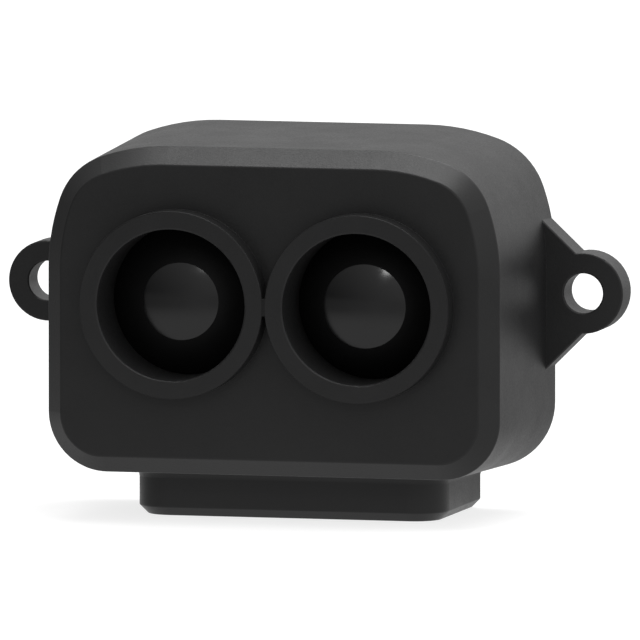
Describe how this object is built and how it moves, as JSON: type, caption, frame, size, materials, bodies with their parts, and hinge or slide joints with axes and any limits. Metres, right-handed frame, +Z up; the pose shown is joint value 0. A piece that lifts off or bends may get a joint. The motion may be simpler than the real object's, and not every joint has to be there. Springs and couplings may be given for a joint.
{
  "type": "lidar rangefinder module",
  "caption": "Small black twin-lens time-of-flight rangefinder module with a chamfered rounded face, raised lens rings, side mounting ears and a connector foot.",
  "frame": {"origin": "midway between the two ear holes, on the flat rear mounting plane, level with the lens axes", "axes": "+X to the right seen from the front, +Y out of the rear face, +Z up, towards the wide rounded corners and away from the foot; the lenses look along -Y"},
  "size_m": [0.035, 0.0139, 0.0212],
  "materials": {
    "shell_plastic": "black moulded plastic with a fine matte grain",
    "cover_plastic": "black moulded plastic, slightly smoother than the shell",
    "optics_plastic": "deep black light-absorbing plastic",
    "black_rubber": "soft black silicone rubber",
    "black_foam": "closed-cell black foam",
    "lens_plastic": "polished dark infrared-pass lens",
    "filter_glass": "dark coated bandpass glass",
    "anodised_ring": "black anodised",
    "circuit_board": "green solder mask",
    "chip_epoxy": "moulded black epoxy",
    "white_ceramic": "white ceramic",
    "tan_ceramic": "tan ceramic with tinned ends",
    "inductor_ferrite": "grey ferrite",
    "steel": "bright zinc-plated steel",
    "brass": "nickel-free turned brass",
    "gold_plate": "gold-plated phosphor bronze",
    "socket_plastic": "natural off-white nylon",
    "connector_black": "black liquid-crystal polymer"
  },
  "bodies": {
    "root": {"housing_shell": "shell_plastic", "rear_cover": "cover_plastic", "rear_seal": "black_rubber", "cover_screws": "steel", "front_gasket": "black_rubber", "optics_block": "optics_plastic", "emitter_barrel": "optics_plastic", "receiver_barrel": "optics_plastic", "emitter_lens": "lens_plastic", "receiver_lens": "lens_plastic", "emitter_retaining_ring": "anodised_ring", "receiver_retaining_ring": "anodised_ring", "receiver_filter": "filter_glass", "light_baffle": "black_foam", "sensor_board": "circuit_board", "processor_board": "circuit_board", "emitter_led": "white_ceramic", "receiver_chip": "chip_epoxy", "emitter_driver_chip": "chip_epoxy", "processor_chip": "chip_epoxy", "voltage_regulator": "chip_epoxy", "bulk_capacitors": "tan_ceramic", "decoupling_capacitors": "tan_ceramic", "power_inductor": "inductor_ferrite", "crystal": "steel", "board_socket": "connector_black", "board_plug": "connector_black", "board_spacers": "brass", "stack_screws": "steel", "connector_socket": "socket_plastic", "connector_contacts": "gold_plate"}
  },
  "joints": []
}
